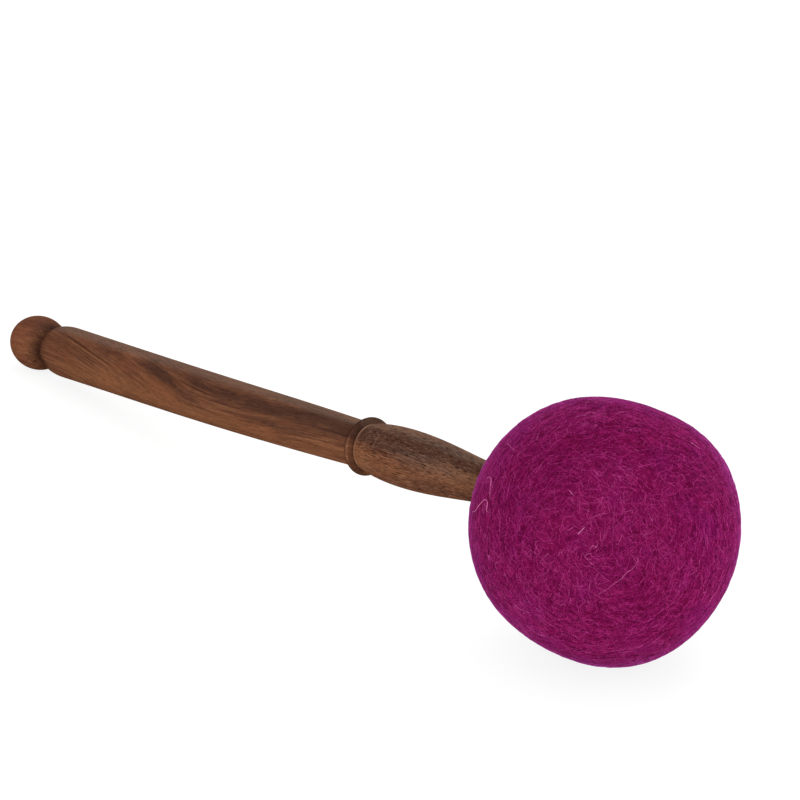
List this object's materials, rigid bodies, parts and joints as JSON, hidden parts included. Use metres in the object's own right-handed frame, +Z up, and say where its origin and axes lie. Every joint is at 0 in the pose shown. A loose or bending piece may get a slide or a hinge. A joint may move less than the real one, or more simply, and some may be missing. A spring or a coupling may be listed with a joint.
{
  "type": "singing bowl mallet",
  "caption": "Turned hardwood stick with a ball pommel and a raised collar, ending in a large soft ball of felted wool over a wooden core.",
  "frame": {"origin": "on the surface that the mallet lies on, midway along its length and below the stick's axis", "axes": "+X from the pommel to the felt head, +Z up from the surface, +Y to the left of the stick seen from the pommel"},
  "size_m": [0.3218, 0.0719, 0.0712],
  "materials": {
    "handle_wood": "oiled, satin sheen",
    "core_wood": "raw turned",
    "plain_wool": "undyed wound wool",
    "dyed_felt": "magenta felted wool, matt and hairy"
  },
  "bodies": {
    "root": {"turned_handle": "handle_wood", "head_core": "core_wood", "wool_padding": "plain_wool", "felt_cover": "dyed_felt"}
  },
  "joints": []
}
